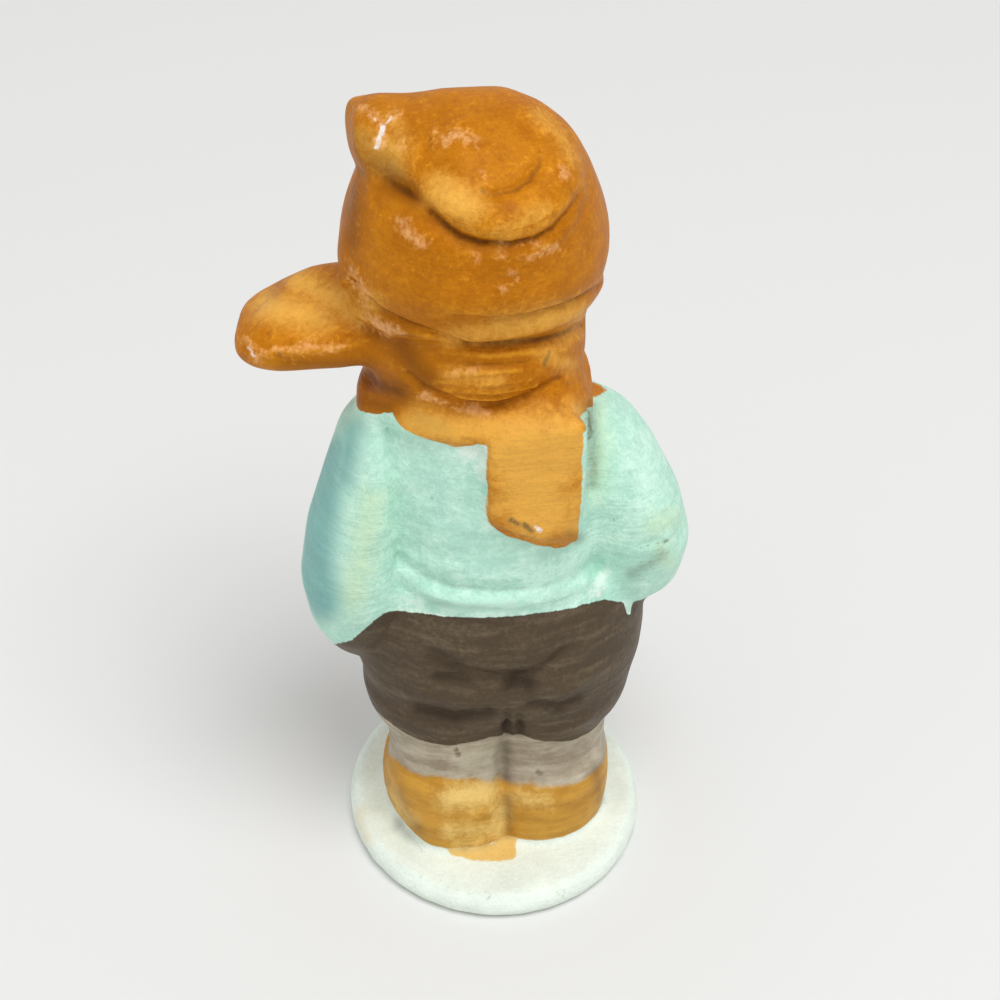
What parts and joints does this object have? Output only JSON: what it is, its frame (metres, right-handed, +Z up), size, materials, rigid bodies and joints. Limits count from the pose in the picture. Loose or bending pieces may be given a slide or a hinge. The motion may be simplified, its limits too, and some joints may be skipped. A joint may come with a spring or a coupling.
{
  "type": "chalkware figure",
  "caption": "Small painted chalkware figure in a folded stocking cap, scarf, jumper, shorts and boots, standing on an oval base.",
  "frame": {"origin": "centre of the oval base's flat underside", "axes": "+Z up through the figure, -Y the way the body faces, +X towards the figure's left, the way the bill points"},
  "size_m": [0.0332, 0.0268, 0.0661],
  "materials": {
    "base_plaster": "matte",
    "bill_paint": "satin",
    "cap_paint": "satin",
    "jumper_paint": "satin",
    "leg_paint": "matte",
    "shoe_paint": "satin",
    "shorts_paint": "satin",
    "scarf_paint": "satin"
  },
  "bodies": {
    "root": {"base_disc": "base_plaster", "bill": "bill_paint", "cap_brim": "cap_paint", "cap_crown": "cap_paint", "cap_fold": "cap_paint", "cap_tail": "cap_paint", "cap_tip": "cap_paint", "head": "cap_paint", "jumper_body": "jumper_paint", "jumper_hem": "jumper_paint", "left_leg": "leg_paint", "left_shoe": "shoe_paint", "left_shorts_leg": "shorts_paint", "left_sleeve": "jumper_paint", "right_leg": "leg_paint", "right_shoe": "shoe_paint", "right_shorts_leg": "shorts_paint", "right_sleeve": "jumper_paint", "scarf_tail": "scarf_paint", "scarf_wrap": "scarf_paint", "scarf_yoke": "scarf_paint", "shorts_seat": "shorts_paint"}
  },
  "joints": []
}
